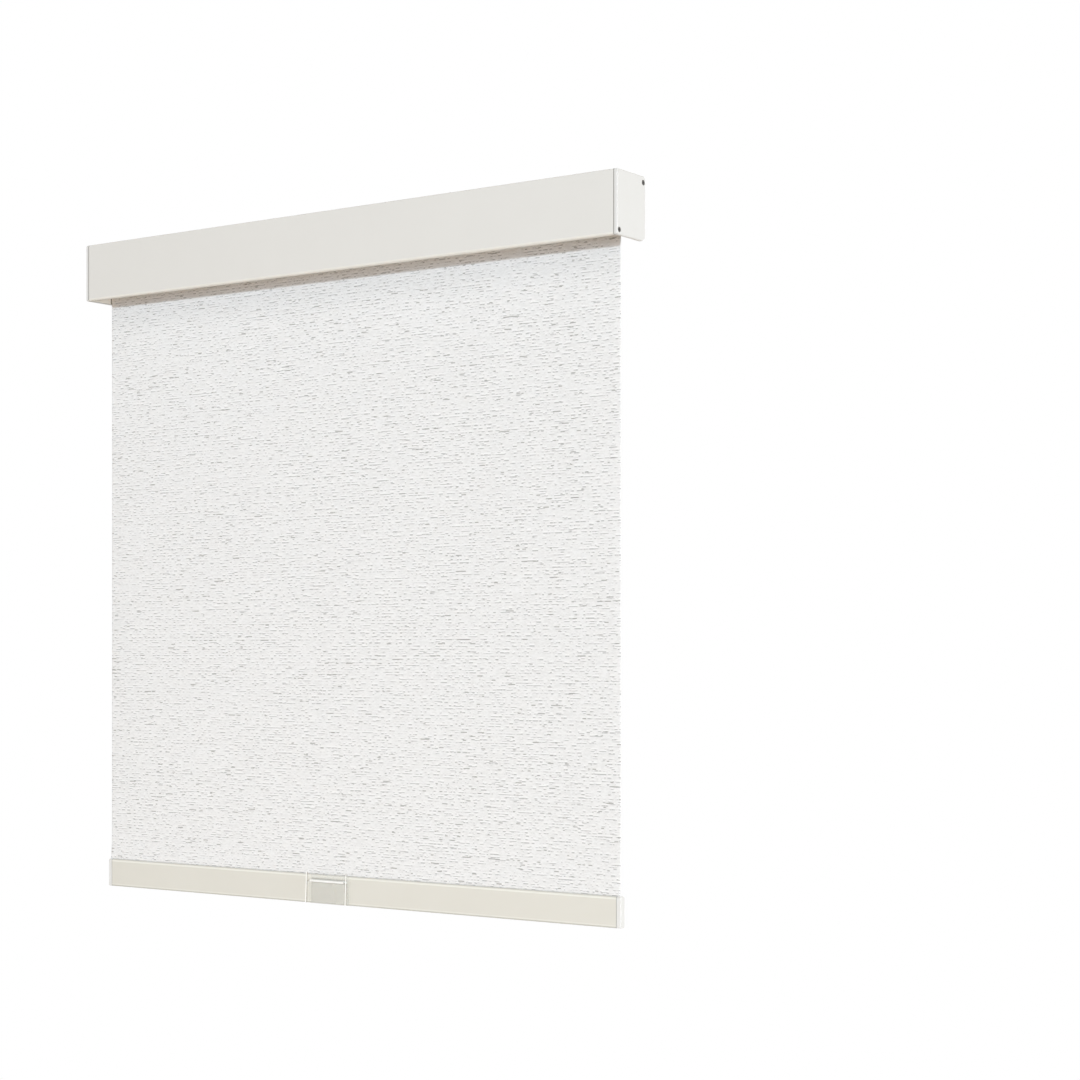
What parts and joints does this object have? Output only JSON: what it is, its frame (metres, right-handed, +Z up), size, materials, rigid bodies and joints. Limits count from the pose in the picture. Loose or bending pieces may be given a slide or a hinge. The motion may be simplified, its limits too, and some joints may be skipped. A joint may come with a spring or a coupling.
{
  "type": "blackout roller shade",
  "caption": "Cordless blackout roller shade in an L-shaped cassette, with a fabric panel, a flat bottom rail and a clear sliding pull handle.",
  "frame": {"origin": "centre of the four wall screw holes of the two brackets, on the wall", "axes": "+X to the right as seen from the room, along the cassette; +Y into the wall; +Z up"},
  "size_m": [0.91, 0.064, 0.925],
  "materials": {
    "cream_enamel": "smooth cream powder coat on an aluminium extrusion",
    "white_plastic": "off-white moulded plastic, satin",
    "black_screw_steel": "black oxide screws",
    "zinc_steel": "zinc plated sheet and bar",
    "grey_plastic": "grey moulded plastic",
    "black_plastic": "black moulded plastic",
    "spring_steel": "oiled spring steel",
    "bare_aluminium": "mill finish",
    "flecked_fabric": "white woven face with short horizontal grey-brown flecks, plain coated back",
    "clear_strip": "milky plastic strip",
    "clear_acrylic": "clear polished acrylic"
  },
  "bodies": {
    "cassette": {"cassette_profile": "cream_enamel", "end_cap_left": "white_plastic", "end_cap_right": "white_plastic", "end_cap_screws_left": "black_screw_steel", "end_cap_screws_right": "black_screw_steel", "bracket_plate_left": "zinc_steel", "bracket_plate_right": "zinc_steel", "latch_rivets": "zinc_steel", "drive_socket": "grey_plastic", "drive_head": "grey_plastic", "spring_spindle": "spring_steel", "damper_core": "grey_plastic", "spring_anchor": "black_plastic", "limit_screw": "grey_plastic", "spindle_clip": "spring_steel", "idler_socket": "grey_plastic", "fabric_panel": "flecked_fabric"},
    "roller": {"roller_tube": "bare_aluminium", "fabric_roll": "flecked_fabric", "fabric_top_strip": "clear_strip", "drive_crown": "grey_plastic", "damper_cover": "black_plastic", "damper_housing": "black_plastic", "torsion_spring": "spring_steel", "drive_carrier": "grey_plastic", "idler_plug": "grey_plastic", "idler_pin_spring": "spring_steel"},
    "limit_nut": {"limit_nut": "black_plastic"},
    "idler_pin": {"idler_pin": "spring_steel"},
    "latch_left": {"latch_lever_left": "grey_plastic"},
    "latch_right": {"latch_lever_right": "grey_plastic"},
    "bottom_rail": {"rail_profile": "cream_enamel", "rail_end_cap_left": "white_plastic", "rail_end_cap_right": "white_plastic", "rail_spline": "clear_strip", "fabric_hem": "flecked_fabric", "rail_weight_bar": "zinc_steel"},
    "handle": {"pull_handle": "clear_acrylic"}
  },
  "joints": [
    {"name": "rail_lift", "type": "slide", "parent": "cassette", "child": "bottom_rail", "axis": [0, 0, 1], "range_m": [0, 0.8], "deforming": ["fabric_panel"]},
    {"name": "roller_spin", "type": "hinge", "parent": "cassette", "child": "roller", "pos_m": [0, -0.036, -0.016], "axis": [1, 0, 0], "range_deg": [0, 2713]},
    {"name": "limit_nut_travel", "type": "slide", "parent": "roller", "child": "limit_nut", "axis": [1, 0, 0], "range_m": [0, 0.0114]},
    {"name": "idler_pin_slide", "type": "slide", "parent": "roller", "child": "idler_pin", "axis": [1, 0, 0], "range_m": [0, 0.0045], "stiffness_N_per_m": 800, "springref_m": -0.004, "deforming": ["idler_pin_spring"]},
    {"name": "handle_slide", "type": "slide", "parent": "bottom_rail", "child": "handle", "axis": [1, 0, 0], "range_m": [-0.375, 0.42]},
    {"name": "latch_left_turn", "type": "hinge", "parent": "cassette", "child": "latch_left", "pos_m": [-0.33, -0.003, 0.004], "axis": [0, -1, 0], "range_deg": [0, 90]},
    {"name": "latch_right_turn", "type": "hinge", "parent": "cassette", "child": "latch_right", "pos_m": [0.33, -0.003, 0.004], "axis": [0, 1, 0], "range_deg": [0, 90]}
  ],
  "couplings": [
    {"joint": "roller_spin", "follows": "rail_lift", "rad_per_m": 59.172},
    {"joint": "limit_nut_travel", "follows": "rail_lift", "ratio": 0.014126}
  ]
}
